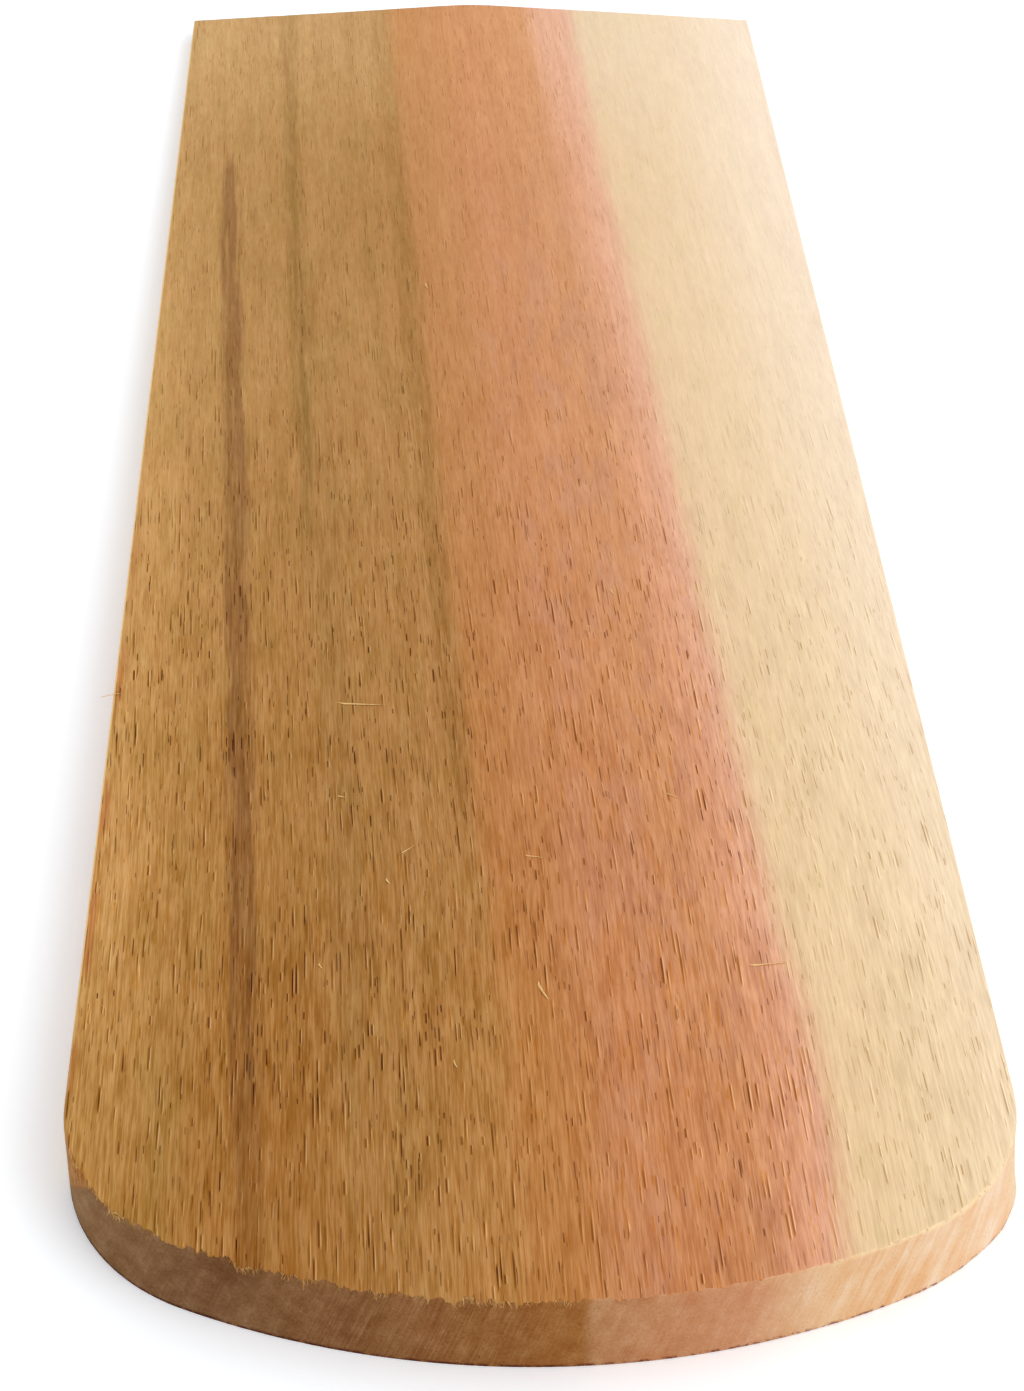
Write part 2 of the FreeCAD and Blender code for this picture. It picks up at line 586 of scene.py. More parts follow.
woodTones = {
    # colours by place across the grain, in millimetres from the middle
    "zones": [
        (-54, (211, 166, 109)),   # golden edge
        (-48, (202, 156, 99)),
        (-43, (190, 145, 89)),
        (-33, (184, 138, 83)),    # brown heartwood
        (-20, (182, 135, 81)),
        (-10, (184, 135, 82)),
        (-8, (191, 135, 83)),     # orange heartwood starts at a line
        (4, (205, 143, 98)),
        (15, (213, 153, 109)),
        (19, (225, 166, 130)),
        (22.5, (230, 177, 147)),  # pink rim
        (25.5, (233, 201, 162)),  # sapwood
        (36, (240, 212, 175)),
        (54, (252, 231, 206)),
    ],
    "span": (-60, 60), "borderStops": (-10, -8), "blendStop": (-6, (193, 138, 82)),
    "lostLine": (-80.0, -130.0, 0.0, 0.8),
    "frayed": (1.5, 1 / 22, (0, 0, 0), 2.0, 0.65), "frayedOut": 2.2,
    "turnRows": (-128.0, -160.0, -1.0, 1.1), "turnStart": (-98.0, -116.0), "turnAcross": (12.0, 22.0),
    "veins": [
        # centre, lean, half width, start, full, tint
        (-37.05, -0.005, 1.6, 104, 74, (213, 203, 202)),
        (-27.5, 0.003, 1.2, -60, 40, (226, 226, 212)),
        (-25.3, -0.008, 1.9, 80, 20, (243, 243, 238)),
        (-10.4, 0.0, 1.7, -130, 0, (238, 236, 224)),
        (-15.8, 0.0, 1.0, -10, 90, (249, 250, 246)),
    ],
    "heartEdge": (25.5, 21.0), "brownEdge": (-6.5, -10.5),
    "patch": (1 / 3.5, 1 / 15, (6, 1, 9), 2.0, 0.6),
    "pinkShown": (0.44, 0.64, 0.0, 0.48), "patchPink": (203, 148, 118),
    "pinkFrom": (-4.0, 5.0), "pinkTo": (21.0, 16.0), "pinkRows": (110.0, 20.0),
    "oliveShown": (0.44, 0.64, 0.0, 0.38), "patchOlive": (240, 248, 232),
    # darker towards the butt and the lower left: partly the heartwood's own tone, partly painted shade
    "shadeRows": (70.0, -165.0), "heartDepth": 0.15, "deepFrom": (-22.0, -32.0), "deepDepth": 0.12,
    # paler near the head: a painted sheen
    "headRows": (80.0, 150.0), "headSheenPower": -0.14, "headSheenBrown": -0.15, "headSheenTint": (255, 246, 234),
    "paleFrom": (20.0, 26.0), "paleTo": (42.0, 32.0), "headSheenSap": -0.15,
    "rosyFrom": (15.0, 19.0), "rosyTo": (25.5, 23.0, 0.0, 0.6), "headPink": (233, 182, 156),
    "darkRows": (-90.0, -150.0), "farLeft": (-42.0, -50.0), "buttPower": 0.075,
    "edgeFrom": (-40.0, -46.0), "edgeRows": (-90.0, -140.0), "buttEdge": (243, 252, 255),
    "cloud": (0.35, 1 / 9, (2, 6, 4), 2.0, 0.7), "cloudShown": (0.46, 0.72, 0.0, 0.28),
    "cloudTo": (44.0, 28.0), "sapWarm": (255, 254, 247), "sapOlive": (228, 204, 150),
}


def rampOf(tree, share, zones, span):
    ramp = addNode(tree, "ShaderNodeValToRGB", {0: share})
    stops = ramp.color_ramp.elements
    for k, (place, colour) in enumerate(zones):
        at = (place - span[0]) / (span[1] - span[0])
        stop = stops[k] if k < 2 else stops.new(at)
        stop.position = at
        stop.color = tone(*colour)
    return ramp.outputs[0]


def toneGroup(vein):
    tree, given, out = newGroup("heartToSap", ["Grain"], ["Color", "Heart", "Brown"])
    grain = given["Grain"]
    parts = split(tree, grain)

    def row(name):
        return between(tree, parts["Y"], *woodTones[name])

    # the border between zones is not quite straight
    frayed = centred(tree, cloudy(tree, grain, *woodTones["frayed"]))
    across = timesPlus(tree, frayed, woodTones["frayedOut"], parts["X"])
    # and the sapwood comes in a little at the butt
    turn = times(tree, row("turnRows"), row("turnStart"))
    across = timesPlus(tree, turn, between(tree, parts["X"], *woodTones["turnAcross"]), across)

    def place(name):
        return between(tree, across, *woodTones[name])

    def tinted(factor, colour, name, blend="MIX"):
        return mixed(tree, factor, colour, tone(*woodTones[name]), blend)

    low, high = woodTones["span"]
    share = addNode(tree, "ShaderNodeMapRange", {0: across, 1: low, 2: high}).outputs[0]
    sharp = rampOf(tree, share, woodTones["zones"], (low, high))
    blended = [zone for zone in woodTones["zones"] if zone[0] not in woodTones["borderStops"]]
    soft = rampOf(tree, share, sorted(blended + [woodTones["blendStop"]]), (low, high))
    # the line between brown and orange is lost towards the butt
    colour = mixed(tree, row("lostLine"), sharp, soft)
    for centre, lean, half, start, full, tint in woodTones["veins"]:
        mask = useGroup(tree, vein, Grain=grain, Frayed=frayed, Centre=centre, Lean=lean, Half=half,
                        Start=start, Full=full)["Mask"]
        colour = mixed(tree, mask, colour, tone(*tint), "MULTIPLY")
    heart = place("heartEdge")
    brown = place("brownEdge")
    sap = sums(tree, "SUBTRACT", 1.0, heart)
    # greyer pink patches in the orange wood, olive ones in the brown
    patch = cloudy(tree, grain, *woodTones["patch"])
    orange = times(tree, sums(tree, "SUBTRACT", 1.0, brown), place("pinkTo"))
    orange = times(tree, times(tree, orange, row("pinkRows")), place("pinkFrom"))
    pink = times(tree, between(tree, patch, *woodTones["pinkShown"]), orange)
    colour = tinted(pink, colour, "patchPink")
    olive = times(tree, between(tree, patch, *woodTones["oliveShown"]), brown)
    colour = tinted(olive, colour, "patchOlive", "MULTIPLY")
    # deeper towards the butt, partly the heartwood's own tone and partly painted shade; paler towards the
    # head, a painted sheen
    shade = row("shadeRows")
    head = row("headRows")
    sheenOnHeart = times(tree, head, heart)
    deep = place("deepFrom")
    depth = timesPlus(tree, deep, woodTones["deepDepth"], times(tree, heart, woodTones["heartDepth"]))
    power = timesPlus(tree, shade, depth, 1.0)
    # the painted sheen lightens the heartwood near the head, the brown most
    fade = timesPlus(tree, brown, woodTones["headSheenBrown"], woodTones["headSheenPower"])
    power = timesPlus(tree, sheenOnHeart, fade, power)
    # and a painted sheen lightens the pale sapwood near the head
    pale = times(tree, place("paleFrom"), place("paleTo"))
    power = timesPlus(tree, times(tree, head, pale), woodTones["headSheenSap"], power)
    # darkest at the lower left near the butt, partly painted shade
    darkest = times(tree, row("darkRows"), sums(tree, "ADD", deep, place("farLeft")))
    power = timesPlus(tree, darkest, woodTones["buttPower"], power)
    colour = addNode(tree, "ShaderNodeGamma", {0: colour, 1: power}).outputs[0]
    edge = times(tree, place("edgeFrom"), row("edgeRows"))
    colour = tinted(edge, colour, "buttEdge", "MULTIPLY")
    # the painted sheen near the head is warm
    colour = tinted(sheenOnHeart, colour, "headSheenTint", "MULTIPLY")
    rosy = times(tree, place("rosyFrom"), place("rosyTo"))
    colour = tinted(times(tree, head, rosy), colour, "headPink")
    # sapwood is yellower near the butt and in clouds
    colour = tinted(times(tree, sap, shade), colour, "sapWarm", "MULTIPLY")
    cloud = between(tree, cloudy(tree, grain, *woodTones["cloud"]), *woodTones["cloudShown"])
    cloud = times(tree, cloud, place("cloudTo"))
    colour = tinted(times(tree, cloud, sap), colour, "sapOlive")
    handOut(tree, out, Color=colour, Heart=heart, Brown=brown)
    return tree


def newWood(name, groups):
    material = bpy.data.materials.new(name)
    material.use_nodes = True
    tree = material.node_tree
    return material, tree, tree.nodes["Principled BSDF"], useGroup(tree, groups["grain"])["Grain"]


def finishShader(tree, shader, colour, look):
    tree.links.new(colour, shader.inputs["Base Color"])
    shader.inputs["Roughness"].default_value = look["roughness"]
    shader.inputs["Specular IOR Level"].default_value = look["sheen"]


def roughen(tree, shader, height, look):
    feeds = {"Strength": look["bumpStrength"], "Distance": look["bumpHeight"] * mm, "Height": height}
    tree.links.new(addNode(tree, "ShaderNodeBump", feeds).outputs[0], shader.inputs["Normal"])


def belowFace(tree, grain):
    # depth under the upper face, in millimetres
    parts = split(tree, grain)
    fall = (shingle["headThickness"] - shingle["buttThickness"]) / (2 * halfLength - shingle["headRise"])
    return sums(tree, "SUBTRACT", timesPlus(tree, parts["Y"], fall, upperFace(0.0)), parts["Z"])


faceLook = {
    "fine": 0.17, "coarse": 0.2, "patch": 0.15, "mottle": 0.24, "crowd": 0.06,    # how much each shades
    # pale fibres have less colour, partly as a painted sheen on them
    "dull": 0.26, "warm": 0.018,                             # pale fibres have less colour
    "detailRows": (120.0, -140.0), "quiet": 0.36, "loud": 1.45, "quicken": 1.5,    # from head to butt
    "sapShare": 0.6, "brownShare": 1.3,                      # detail by kind of wood
    "bendStart": -90.0, "bend": 0.024,
    "vessels": {"Across": 0.45, "Along": 6.4},
    "smallVessels": {"Across": 0.36, "Along": 4.2, "Shift": 11.3},
    "dashHeart": (112, 72, 6), "dashSap": (184, 154, 86),    # vessels multiply the wood by these
    "orangeDash": 0.82, "sapDash": 0.68,
    "smallDepth": 1.0, "scattered": 0.62, "lip": 0.28, "stain": (250, 238, 200),
    # the pale edge of the left arris is partly rubbed wear, partly a painted highlight
    "edgeRed": (240, 216, 208), "edgeRubAndHighlight": (250, 216, 152),    # bruised left arris
    "redSide": (-48.4 * mm, -49.4 * mm), "redRows": (20.0, -60.0), "blotShown": (-0.06, 0.1),
    "paleSide": (-49.7 * mm, -49.9 * mm, 0.0, 0.8), "paleRows": (-131.0, -105.0), "paleDepth": (0.6, 0.3),
    "roughness": 0.75, "sheen": 0.06,
    "bumpStrength": 0.5, "bumpHeight": 0.05, "fineHeight": 0.3,
}


def faceGroup(groups):
    tree, given, out = newGroup("faceGrain", ["Grain"], ["Color", "Height", "Patch"])
    grain = given["Grain"]
    wood = useGroup(tree, groups["tone"], Grain=grain)
    parts = split(tree, grain)
    along = parts["Y"]
    # near the butt the fibres run straighter than the colours do
    beyond = sums(tree, "MAXIMUM", sums(tree, "SUBTRACT", faceLook["bendStart"], along), 0.0)
    bent = timesPlus(tree, beyond, faceLook["bend"], parts["X"])
    fibres = joined(tree, bent, along, parts["Z"])
    lines = useGroup(tree, groups["fibre"], Grain=fibres)
    vessels = useGroup(tree, groups["vessel"], Grain=fibres, **faceLook["vessels"])
    small = useGroup(tree, groups["vessel"], Grain=fibres, **faceLook["smallVessels"])["Dash"]
    nearness = sums(tree, "POWER", between(tree, along, *faceLook["detailRows"]), faceLook["quicken"])
    detail = timesPlus(tree, nearness, faceLook["loud"] - faceLook["quiet"], faceLook["quiet"])
    kind = timesPlus(tree, wood["Heart"], 1 - faceLook["sapShare"], faceLook["sapShare"])
    kind = timesPlus(tree, wood["Brown"], faceLook["brownShare"] - 1, kind)

    # fine lines fade towards the head, blotches stay
    change = times(tree, lines["Fine"], faceLook["fine"])
    change = timesPlus(tree, lines["Cluster"], -faceLook["crowd"], change)
    # the painted highlight beside each vessel lightens the wood
    change = timesPlus(tree, vessels["Lip"], faceLook["lip"], change)
    change = times(tree, change, detail)
    for name in ("Coarse", "Patch", "Mottle"):
        change = timesPlus(tree, lines[name], faceLook[name.lower()], change)
    change = times(tree, change, kind)
    feeds = {"Color": wood["Color"], "Hue": timesPlus(tree, change, faceLook["warm"], 0.5),
             "Saturation": timesPlus(tree, change, -faceLook["dull"], 1.0),
             "Value": sums(tree, "ADD", change, 1.0)}
    colour = addNode(tree, "ShaderNodeHueSaturation", feeds).outputs[0]

    # vessels stand in groups
    dash = sums(tree, "MAXIMUM", vessels["Dash"], times(tree, small, faceLook["smallDepth"]))
    crowd = timesPlus(tree, lines["Cluster"], 1 - faceLook["scattered"], faceLook["scattered"])
    shown = sums(tree, "MINIMUM", detail, 1.0)
    dash = times(tree, times(tree, dash, crowd), shown)
    dash = times(tree, dash, sums(tree, "MAXIMUM", wood["Heart"], shown))
    heavy = between(tree, wood["Heart"], 0.0, 1.0, faceLook["sapDash"], faceLook["orangeDash"])
    heavy = timesPlus(tree, wood["Brown"], 1 - faceLook["orangeDash"], heavy)
    dash = times(tree, dash, heavy)
    stained = times(tree, times(tree, vessels["Stain"], detail), wood["Heart"])
    colour = mixed(tree, stained, colour, tone(*faceLook["stain"]), "MULTIPLY")
    dark = mixed(tree, wood["Heart"], tone(*faceLook["dashSap"]), tone(*faceLook["dashHeart"]))
    colour = mixed(tree, dash, colour, dark, "MULTIPLY")
    height = sums(tree, "SUBTRACT", times(tree, lines["Fine"], faceLook["fineHeight"]), vessels["Dash"])
    handOut(tree, out, Color=colour, Height=height, Patch=lines["Patch"])
    return tree


def faceWood(groups):
    material, tree, shader, grain = newWood("faceGrainWood", groups)
    face = useGroup(tree, groups["face"], Grain=grain)
    along = split(tree, grain)["Y"]

    # the left arris is bruised red in places, and pale at its edge: partly rubbed wear, partly a painted
    # highlight
    side = split(tree, addNode(tree, "ShaderNodeTexCoord").outputs["Object"])["X"]
    blot = between(tree, face["Patch"], *faceLook["blotShown"])
    red = times(tree, between(tree, side, *faceLook["redSide"]), blot)
    red = times(tree, red, between(tree, along, *faceLook["redRows"]))
    colour = mixed(tree, red, face["Color"], tone(*faceLook["edgeRed"]), "MULTIPLY")
    upper = between(tree, belowFace(tree, grain), *faceLook["paleDepth"])
    rubbedAndHighlit = times(tree, between(tree, side, *faceLook["paleSide"]), upper)
    rubbedAndHighlit = times(tree, rubbedAndHighlit, between(tree, along, *faceLook["paleRows"]))
    colour = mixed(tree, rubbedAndHighlit, colour, tone(*faceLook["edgeRubAndHighlight"]))
    finishShader(tree, shader, colour, faceLook)
    roughen(tree, shader, face["Height"], faceLook)
    return material


endLook = {
    # colours from the left of the butt to the right, in millimetres from the middle
    "zones": [
        (-50, (142, 105, 67)),
        (-36, (126, 89, 57)),
        (-20, (135, 92, 55)),
        (2.8, (155, 101, 50)),     # dark half stops
        (4.0, (181, 131, 90)),
        (10, (190, 132, 90)),
        (20, (206, 149, 110)),
        (28, (232, 190, 147)),
        (36, (237, 195, 152)),
        (46, (243, 206, 169)),
    ],
    "blot": (0.5, 0.1, (0, 0, 0), 3.0, 0.6), "blotOut": 1.2, "blotDepth": 0.5,
    "rayLean": 0.34, "rayPitch": (5.0, 0.12, 0.05),    # across, down and along the grain
    "rayLeft": (-28.0, -20.0, 0.1, 0.55), "rayMiddle": (2.0, -6.0, 0.4, 1.0),
    "rayRight": (20.0, 36.0, 0.2, 0.8),
    "bandPitch": (0.55, 0.1, 0.05), "bandRight": (18.0, 36.0, 0.3, 1.3),
    "speckle": (3.5, 0.3, (8, 1, 1), 2.0, 0.8), "speckleDepth": 0.5,
    "pores": {"Across": 0.5, "Along": 3.4}, "poreLeft": (6.0, 2.0, 0.05, 0.3), "poreColour": (90, 58, 36),
    "veinPlace": -31.6, "veinReach": (4.5, 0.5), "veinDepth": (5.0, 0.5), "veinTint": (222, 210, 196),
    "specks": (1.1, 0.2, (4, 4, 4), 2.0, 0.7), "speckLeft": (8.0, -4.0, 0.0, 0.12),
    "speckShown": (0.44, 0.66), "speckHeight": (0.55, 0.1), "rimSpecks": (160, 112, 112),
    "rimRagged": 1.4, "rimDepth": (0.8, 0.1), "rimRight": (25.0, 35.0, 0.0, 0.65),
    # pale upper rim on the right: partly bruised wear, partly a painted highlight
    "rimWearAndHighlight": (250, 224, 178),
    "tintRows": (-130.0, -136.0), "tintLeft": (0.0, -10.0), "sideTint": (244, 230, 232),
    # long grain on the left corner starts at a slanting line
    "sideStart": -132.1, "sideSoft": 0.5, "sideSlant": 1.02, "leftCorner": (-30.0, -34.0),
    "rightRows": (-140.0, -135.8), "rightCorner": (40.0, 46.0), "headward": (60.0, 40.0),
    "roughness": 0.8, "sheen": 0.1,
    "bumpStrength": 0.6, "bumpHeight": 0.06, "rayHeight": 1.2,
}


def endWood(groups):
    material, tree, shader, grain = newWood("endGrainWood", groups)
    parts = split(tree, grain)
    pores = useGroup(tree, groups["vessel"], Grain=grain, **endLook["pores"])["Dash"]
    blot = centred(tree, cloudy(tree, grain, *endLook["blot"]))
    below = belowFace(tree, grain)

    # brown half, then tan, then pale sapwood
    shift = shingle["grainSkew"] * halfLength
    across = timesPlus(tree, blot, endLook["blotOut"], sums(tree, "ADD", parts["X"], shift))
    share = addNode(tree, "ShaderNodeMapRange", {0: across, 1: -halfWidth, 2: halfWidth}).outputs[0]
    colour = rampOf(tree, share, endLook["zones"], (-halfWidth, halfWidth))

    def place(name):
        return between(tree, across, *endLook[name])

    def row(name):
        return between(tree, parts["Y"], *endLook[name])

    # rays cross the end at a slant
    slant = timesPlus(tree, parts["Z"], -endLook["rayLean"], parts["X"])
    down = timesPlus(tree, parts["X"], endLook["rayLean"], parts["Z"])
    ray = joined(tree, slant, down, parts["Y"])
    rays = centred(tree, noiseOf(tree, scaled(tree, ray, *endLook["rayPitch"]), 2.0, 0.5))
    rayDepth = sums(tree, "MAXIMUM", times(tree, place("rayLeft"), place("rayMiddle")), place("rayRight"))
    change = times(tree, rays, rayDepth)
    bands = centred(tree, noiseOf(tree, scaled(tree, ray, *endLook["bandPitch"], (2, 1, 5)), 2.0, 0.6))
    change = timesPlus(tree, bands, place("bandRight"), change)
    speckle = centred(tree, cloudy(tree, grain, *endLook["speckle"]))
    change = timesPlus(tree, speckle, endLook["speckleDepth"], change)
    change = timesPlus(tree, blot, endLook["blotDepth"], change)
    power = sums(tree, "ADD", change, 1.0)
    colour = addNode(tree, "ShaderNodeGamma", {0: colour, 1: power}).outputs[0]
    pored = times(tree, pores, place("poreLeft"))
    colour = mixed(tree, pored, colour, tone(*endLook["poreColour"]))

    # the dark vein shows in the end, most under the upper rim
    off = sums(tree, "ABSOLUTE", sums(tree, "SUBTRACT", across, endLook["veinPlace"]))
    shown = between(tree, off, *endLook["veinReach"])
    shown = times(tree, shown, between(tree, below, *endLook["veinDepth"]))
    colour = mixed(tree, shown, colour, tone(*endLook["veinTint"]), "MULTIPLY")

    # specks along the lower rim, and a paler upper rim on the right: partly bruised wear, partly a painted
    # highlight along the arris
    speck = sums(tree, "ADD", cloudy(tree, grain, *endLook["specks"]), place("speckLeft"))
    speck = between(tree, speck, *endLook["speckShown"])
    speck = times(tree, speck, between(tree, parts["Z"], *endLook["speckHeight"]))
    colour = mixed(tree, speck, colour, tone(*endLook["rimSpecks"]), "MULTIPLY")
    worn = timesPlus(tree, blot, endLook["rimRagged"], below)
    rim = times(tree, between(tree, worn, *endLook["rimDepth"]), place("rimRight"))
    colour = mixed(tree, rim, colour, tone(*endLook["rimWearAndHighlight"]))

    # the corners are cut almost along the grain
    face = useGroup(tree, groups["face"], Grain=grain)["Color"]
    tinted = times(tree, row("tintRows"), place("tintLeft"))
    side = mixed(tree, tinted, face, tone(*endLook["sideTint"]), "MULTIPLY")
    line = timesPlus(tree, parts["Z"], endLook["sideSlant"], parts["Y"])
    start, soft = endLook["sideStart"], endLook["sideSoft"]
    atLeft = times(tree, between(tree, line, start - soft, start + soft), place("leftCorner"))
    atRight = times(tree, row("rightRows"), place("rightCorner"))
    atSide = times(tree, sums(tree, "MAXIMUM", atLeft, atRight), row("headward"))
    colour = mixed(tree, atSide, colour, side)
    finishShader(tree, shader, colour, endLook)
    height = sums(tree, "SUBTRACT", times(tree, rays, endLook["rayHeight"]), pores)
    roughen(tree, shader, height, endLook)
    return material


fibreLook = {
    "straw": (240, 200, 134), "torn": 0.15, "pale": 0.85,    # share of straw in each kind
    "mix": (1.7, 1.7, (0, 0, 0), 1.0, 0.5), "mixDepth": 1.2,
    "roughness": 0.6, "sheen": 0.1,
}


def fibreWood(groups, name, paleness):
    material, tree, shader, grain = newWood(name, groups)
    wood = useGroup(tree, groups["tone"], Grain=grain)
    change = centred(tree, cloudy(tree, grain, *fibreLook["mix"]))
    pale = timesPlus(tree, change, fibreLook["mixDepth"], paleness)
    colour = mixed(tree, pale, wood["Color"], tone(*fibreLook["straw"]))
    finishShader(tree, shader, colour, fibreLook)
    return material


# geometry node trees for the loose fibres

def newGrowth(name, inputs):
    return newTree("GeometryNodeTree", name, ["Geometry"] + inputs + ["Material"], ["Geometry"])


def chanceOf(tree, low, high, seed, offset):
    feeds = {2: low, 3: high, "Seed": sums(tree, "ADD", seed, float(offset))}
    return addNode(tree, "FunctionNodeRandomValue", feeds, data_type="FLOAT").outputs[1]


def attribute(tree, name):
    return addNode(tree, "GeometryNodeInputNamedAttribute", {"Name": name}, data_type="FLOAT").outputs[0]


hairShape = {"steps": 6, "sides": 3, "thinner": 0.8}


def hair(tree, curl, thickness):
    # tapered, arched a little, of unit length along -Y
    feeds = {"Resolution": hairShape["steps"],
             "Start": (0, 0, 0), "Start Handle": (0, -0.35, 0.06 + curl * 0.2),
             "End Handle": (curl * 0.5, -0.75, 0.05 + curl * 0.3), "End": (curl, -1.0, -0.04)}
    path = addNode(tree, "GeometryNodeCurvePrimitiveBezierSegment", feeds, mode="POSITION").outputs[0]
    along = addNode(tree, "GeometryNodeSplineParameter").outputs["Factor"]
    taper = timesPlus(tree, along, -hairShape["thinner"] * thickness, thickness)
    feeds = {"Resolution": hairShape["sides"], "Radius": 0.5}
    ring = addNode(tree, "GeometryNodeCurvePrimitiveCircle", feeds).outputs[0]
    feeds = {"Curve": path, "Profile Curve": ring, "Scale": taper, "Fill Caps": True}
    return addNode(tree, "GeometryNodeCurveToMesh", feeds).outputs[0]


def finishTree(tree, given, out, points, keep, shape, turn, scale):
    rotation = addNode(tree, "FunctionNodeEulerToRotation", {0: joined(tree, *turn)}).outputs[0]
    feeds = {"Points": points, "Selection": keep, "Instance": shape, "Rotation": rotation, "Scale": scale}
    placed = addNode(tree, "GeometryNodeInstanceOnPoints", feeds).outputs[0]
    whole = addNode(tree, "GeometryNodeRealizeInstances", {0: placed}).outputs[0]
    dressed = addNode(tree, "GeometryNodeSetMaterial", {"Geometry": whole, "Material": given["Material"]})
    tree.links.new(dressed.outputs[0], out["Geometry"])


def grow(name, base, tree, values):
    # runs the tree on the base mesh and keeps the result as a plain mesh
    source = addObject(name + "_source", base)
    modifier = source.modifiers.new("grow", "NODES")
    modifier.node_group = tree
    for item in tree.interface.items_tree:
        if item.in_out == "INPUT" and item.name in values:
            modifier[item.identifier] = values[item.name]
    evaluated = source.evaluated_get(bpy.context.evaluated_depsgraph_get())
    mesh = bpy.data.meshes.new_from_object(evaluated)
    source.modifiers.remove(modifier)
    bpy.data.objects.remove(source)
    mesh.name = name
    piece = addObject(name, mesh)
    print(name + ":", len(mesh.polygons), "faces")
    return piece


# torn fibres over the butt, thickest at the clumps of its rim
fringe = {
    "spacing": 0.1, "length": 0.9, "thickness": 0.26, "curl": 0.18, "seed": 4,
    "long": (0.25, 1.0), "thick": (0.6, 1.5), "tearShare": 0.7,
    "turns": ((-0.15, 0.75), (-1.5, 1.5), (-0.55, 0.55)),    # radians about X, Y and Z
    "sideGap": 0.4, "inset": 0.12, "sink": 0.05,
    "tear": 0.4, "least": 0.05, "wave": 0.9, "wavePitch": 0.45, "waveLayer": 12.7,
    "clumpShare": 0.6, "clumpWidth": 0.9, "calmShare": 0.85,
}


def fringeTree():
    tree, given, out = newGrowth("tornFringe", ["Spacing", "Length", "Seed"])
    line = addNode(tree, "GeometryNodeMeshToCurve", {"Mesh": given["Geometry"]}).outputs[0]
    feeds = {"Curve": line, "Length": given["Spacing"]}
    dots = addNode(tree, "GeometryNodeResampleCurve", feeds, mode="LENGTH").outputs[0]
    tear = attribute(tree, "tear")
    seed = given["Seed"]
    share = fringe["tearShare"]
    keep = sums(tree, "LESS_THAN", chanceOf(tree, 0.0, 1.0, seed, 0), tear)
    long = times(tree, chanceOf(tree, *fringe["long"], seed, 1), given["Length"])
    long = times(tree, long, timesPlus(tree, tear, share, 1 - share))
    thick = times(tree, chanceOf(tree, *fringe["thick"], seed, 2), long)
    turn = [chanceOf(tree, low, high, seed, 3 + k) for k, (low, high) in enumerate(fringe["turns"])]
    shape = hair(tree, fringe["curl"], fringe["thickness"])
    finishTree(tree, given, out, dots, keep, shape, turn, joined(tree, thick, long, thick))
    return tree


def tearAt(x):
    # most of the torn fibre stands left of the middle
    wave = noise.noise(Vector((x * fringe["wavePitch"], fringe["waveLayer"], 0.0)))
    clump = fringe["tear"] + fringe["wave"] * wave
    clump += fringe["clumpShare"] * clumpsAt(x, fringe["clumpWidth"])
    return min(1.0, max(fringe["least"], clump)) * (1.0 - fringe["calmShare"] * smooth(*torn["calmer"], x))


def buildFringe(material):
    columns = [x for x in columnPlaces() if abs(x) < halfWidth - fringe["sideGap"]]
    line = []
    for x in columns:
        y = buttRim(x) - tornRim(x) + fringe["inset"]
        line.append((x * mm, y * mm, (upperFace(y) - fringe["sink"]) * mm))
    mesh = bpy.data.meshes.new("rim_line")
    mesh.from_pydata(line, [(k, k + 1) for k in range(len(line) - 1)], [])
    tear = mesh.attributes.new("tear", "FLOAT", "POINT")
    tear.data.foreach_set("value", [tearAt(x) for x in columns])
    values = {"Spacing": fringe["spacing"] * mm, "Length": fringe["length"] * mm, "Seed": fringe["seed"],
              "Material": material}
    return grow("butt_fringe", mesh, fringeTree(), values)


# fine raised fibre, in hairs for each square millimetre
fuzz = {
    "density": 0.035, "length": 1.1, "thickness": 0.03, "curl": 0.1, "seed": 9,
    "long": (0.3, 1.0), "pitch": (-0.12, 0.02), "yaw": (-0.5, 0.6),
    "sideGap": 1.5, "endGap": 0.01, "halfColumns": 12, "rows": 40, "sink": 0.01,
}


def fuzzTree():
    tree, given, out = newGrowth("faceFuzz", ["Density", "Length", "Seed"])
    seed = given["Seed"]
    feeds = {"Mesh": given["Geometry"], "Density": given["Density"], "Seed": seed}
    dots = addNode(tree, "GeometryNodeDistributePointsOnFaces", feeds).outputs[0]
    long = times(tree, chanceOf(tree, *fuzz["long"], seed, 1), given["Length"])
    turn = (chanceOf(tree, *fuzz["pitch"], seed, 2), 0.0, chanceOf(tree, *fuzz["yaw"], seed, 3))
    shape = hair(tree, fuzz["curl"], fuzz["thickness"])
    finishTree(tree, given, out, dots, True, shape, turn, joined(tree, long, long, long))
    return tree


def buildFuzz(material):
    # a coarse copy of the upper face carries the hairs
    half, steps = fuzz["halfColumns"], fuzz["rows"]
    places = [k * (halfWidth - fuzz["sideGap"]) / half for k in range(-half, half + 1)]
    shares = [fuzz["endGap"] + (1 - 2 * fuzz["endGap"]) * k / steps for k in range(steps + 1)]
    verts = []
    for x in places:
        for t in shares:
            y = buttRim(x) + (headRim(x) - buttRim(x)) * t
            verts.append((x * mm, y * mm, (upperFace(y) + upperRelief(x, y) - fuzz["sink"]) * mm))
    rows = len(shares)
    faces = [(i * rows + j, (i + 1) * rows + j, (i + 1) * rows + j + 1, i * rows + j + 1)
             for i in range(len(places) - 1) for j in range(rows - 1)]
    mesh = bpy.data.meshes.new("fuzz_ground")
    mesh.from_pydata(verts, [], faces)
    values = {"Density": fuzz["density"] / mm ** 2, "Length": fuzz["length"] * mm, "Seed": fuzz["seed"],
              "Material": material}
    return grow("face_fuzz", mesh, fuzzTree(), values)


